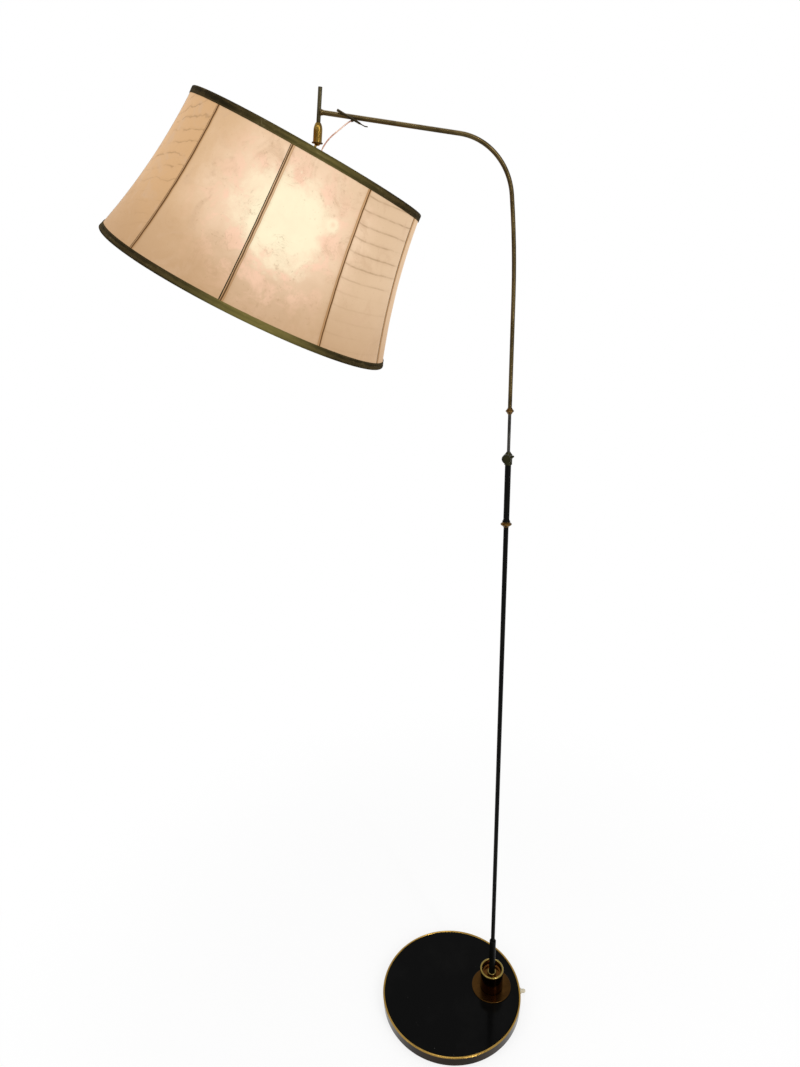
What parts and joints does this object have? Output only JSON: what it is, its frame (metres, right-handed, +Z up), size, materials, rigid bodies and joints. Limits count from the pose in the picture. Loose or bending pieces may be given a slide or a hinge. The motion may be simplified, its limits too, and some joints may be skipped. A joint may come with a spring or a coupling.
{
  "type": "bridge floor lamp",
  "caption": "Bridge floor lamp: round weighted base, telescopic pole near its rim, bent brass arm and a glued parchment shade on a friction ball joint.",
  "frame": {"origin": "centre of the base's felt underside, on the floor", "axes": "+Z up, +X from the base's centre to the pole, so the arm and shade reach towards -X; -Y is the side of the clamp screw"},
  "size_m": [0.6233, 0.4126, 1.6949],
  "materials": {
    "black_gloss": "gloss",
    "black_satin": "satin",
    "iron": "rough",
    "felt": "matte",
    "brass": "polished",
    "aged_brass": "satin",
    "steel": "satin",
    "parchment": "matte",
    "velvet": "matte",
    "glass": "frosted",
    "porcelain": "gloss",
    "bakelite": "gloss",
    "clear_vinyl": "gloss",
    "pale_bush": "satin"
  },
  "bodies": {
    "stand": {"rim_band": "brass", "top_disc": "black_gloss", "base_weight": "iron", "base_felt": "felt", "stud_washer": "steel", "stud_nut": "steel", "base_stud": "steel", "cord_gland": "pale_bush", "flange_disc": "brass", "pole_cup": "brass", "ring_nut": "brass", "foot_sleeve": "black_satin", "lower_pole": "black_satin", "lower_bead": "brass", "upper_sleeve": "black_satin", "clamp_collar": "aged_brass"},
    "clamp_screw_unit": {"clamp_screw": "steel", "clamp_knob": "aged_brass"},
    "swivel_bush": {"clamp_bush": "brass"},
    "mast": {"sliding_rod": "steel", "rod_foot": "brass", "upper_bead": "brass", "arm_tube": "brass", "arm_collar": "brass", "lead_spout": "brass", "cord_hook": "aged_brass", "handle_tube": "brass", "handle_plug": "bakelite", "ball_housing": "brass", "housing_lip": "brass", "pressure_cup": "brass", "spring_washer": "steel", "lamp_lead_upper": "clear_vinyl"},
    "ball_seat": {"friction_pad": "brass"},
    "head": {"ball_stem": "brass", "holder_cap": "brass", "holder_skirt": "brass", "porcelain_core": "porcelain", "screw_shell": "brass", "centre_contact": "brass", "upper_shade_ring": "bakelite", "lower_shade_ring": "bakelite", "bulb_cap": "steel", "bulb_glass": "glass", "shade_carrier": "steel", "top_ring": "steel", "bottom_ring": "steel", "shade_ribs": "steel", "top_trim": "velvet", "bottom_trim": "velvet", "parchment_panel_1": "parchment", "parchment_panel_2": "parchment", "parchment_panel_3": "parchment", "parchment_panel_4": "parchment", "parchment_panel_5": "parchment", "parchment_panel_6": "parchment", "parchment_panel_7": "parchment", "parchment_panel_8": "parchment", "parchment_panel_9": "parchment", "lamp_lead_lower": "clear_vinyl"}
  },
  "joints": [
    {"name": "pole_swivel", "type": "hinge", "parent": "stand", "child": "swivel_bush", "pos_m": [0.0854, 0, 1.193], "axis": [0, 0, 1], "range_deg": [-175, 175]},
    {"name": "height_slide", "type": "slide", "parent": "swivel_bush", "child": "mast", "axis": [0, 0, 1], "range_m": [-0.059, 0.34]},
    {"name": "shade_tilt", "type": "hinge", "parent": "mast", "child": "ball_seat", "pos_m": [-0.18019, 0, 1.63204], "axis": [0, 1, 0], "range_deg": [-34, 11], "deforming": ["lamp_lead_upper", "lamp_lead_lower"]},
    {"name": "shade_swing", "type": "hinge", "parent": "ball_seat", "child": "head", "pos_m": [-0.18019, 0, 1.63204], "axis": [1, 0, 0], "range_deg": [-20, 20], "deforming": ["lamp_lead_upper", "lamp_lead_lower"]},
    {"name": "clamp_turn", "type": "hinge", "parent": "stand", "child": "clamp_screw_unit", "pos_m": [0.08133, -0.00914, 1.193], "axis": [-0.4067, -0.9135, 0], "range_deg": [0, 360]}
  ]
}
